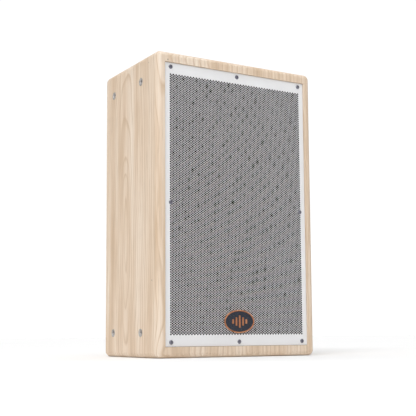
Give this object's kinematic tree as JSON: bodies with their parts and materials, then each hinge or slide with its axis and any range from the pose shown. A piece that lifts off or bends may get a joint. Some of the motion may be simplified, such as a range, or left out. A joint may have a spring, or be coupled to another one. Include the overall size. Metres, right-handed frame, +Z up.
{
  "type": "pa speaker cabinet",
  "caption": "Free-standing two-way loudspeaker cabinet in pale wood veneer with a perforated metal grille, threaded side inserts and a recessed rear input cup.",
  "frame": {"origin": "middle of the cabinet's base", "axes": "+Z up, -Y towards the grille, +X to the right seen from the front"},
  "size_m": [0.381, 0.25, 0.616],
  "materials": {
    "wood": "clear satin lacquer over pale veneer",
    "ply": "bare plywood",
    "grille": "white powder coat",
    "foam": "black open-cell foam",
    "screw": "zinc plated",
    "insert": "plated steel",
    "badge_dark": "dark enamel",
    "copper": "satin copper",
    "cast": "black textured coat",
    "cork": "black gasket",
    "cone": "black paper pulp",
    "cloth": "doped cloth",
    "coil": "lacquered copper",
    "steel": "plated steel",
    "ferrite": "sintered ferrite",
    "abs": "moulded black",
    "titanium": "formed titanium",
    "board": "green solder mask",
    "film": "yellow film",
    "cement": "white cement",
    "red": "red",
    "black": "black",
    "gold": "gold plated",
    "lead": "insulated lead",
    "fleece": "polyester wadding"
  },
  "bodies": {
    "cabinet": {"side_panel_left": "wood", "side_panel_right": "wood", "top_panel": "wood", "bottom_panel": "wood", "rear_panel": "wood", "front_baffle": "ply", "window_brace": "ply", "grille_blocks": "abs", "grille": "grille", "grille_foam": "foam", "grille_screws": "screw", "badge_rim": "copper", "badge_plate": "badge_dark", "badge_emblem": "copper", "rigging_inserts_left": "insert", "rigging_inserts_right": "insert", "woofer_basket": "cast", "woofer_gasket": "cork", "woofer_trim_ring": "cork", "woofer_screws": "screw", "woofer_terminals": "abs", "woofer_surround": "cloth", "woofer_spider": "cloth", "woofer_top_plate": "steel", "woofer_magnet": "ferrite", "woofer_pole_yoke": "steel", "horn": "abs", "horn_gasket": "cork", "horn_screws": "screw", "driver_bolts": "screw", "driver_yoke": "steel", "driver_magnet": "ferrite", "driver_top_plate": "steel", "driver_phase_plug": "abs", "driver_surround": "cloth", "driver_clamp_ring": "abs", "driver_rear_cap": "abs", "driver_terminals": "abs", "port_tube_left": "abs", "port_tube_right": "abs", "crossover_board": "board", "crossover_standoffs": "steel", "crossover_inductors": "coil", "crossover_capacitors": "film", "crossover_resistors": "cement", "input_plate": "abs", "input_gasket": "cork", "input_screws": "screw", "input_sockets": "black", "binding_posts": "gold", "internal_leads": "lead", "damping_lining": "fleece"},
    "woofer_cone_body": {"woofer_cone": "cone", "woofer_dust_cap": "cone", "woofer_voice_coil": "coil"},
    "driver_diaphragm_body": {"driver_diaphragm": "titanium"},
    "red_washer": {"post_washer_red": "gold"},
    "black_washer": {"post_washer_black": "gold"},
    "red_knob": {"post_knob_red": "red"},
    "black_knob": {"post_knob_black": "black"}
  },
  "joints": [
    {"name": "woofer_cone_travel", "type": "slide", "parent": "cabinet", "child": "woofer_cone_body", "axis": [0, 1, 0], "range_m": [-0.005, 0.005], "stiffness_N_per_m": 5000, "deforming": ["woofer_surround", "woofer_spider"]},
    {"name": "driver_diaphragm_travel", "type": "slide", "parent": "cabinet", "child": "driver_diaphragm_body", "axis": [0, 1, 0], "range_m": [-0.0003, 0.0003], "stiffness_N_per_m": 6000, "deforming": ["driver_surround"]},
    {"name": "red_washer_slide", "type": "slide", "parent": "cabinet", "child": "red_washer", "axis": [0, 1, 0], "range_m": [0, 0.005]},
    {"name": "red_knob_turn", "type": "hinge", "parent": "red_washer", "child": "red_knob", "pos_m": [-0.0095, 0.1, 0.088], "axis": [0, 1, 0], "range_deg": [0, 1801]},
    {"name": "black_washer_slide", "type": "slide", "parent": "cabinet", "child": "black_washer", "axis": [0, 1, 0], "range_m": [0, 0.005]},
    {"name": "black_knob_turn", "type": "hinge", "parent": "black_washer", "child": "black_knob", "pos_m": [0.0095, 0.1, 0.088], "axis": [0, 1, 0], "range_deg": [0, 1801]}
  ],
  "couplings": [
    {"joint": "red_knob_turn", "follows": "red_washer_slide", "rad_per_m": 6283.2},
    {"joint": "black_knob_turn", "follows": "black_washer_slide", "rad_per_m": 6283.2}
  ]
}
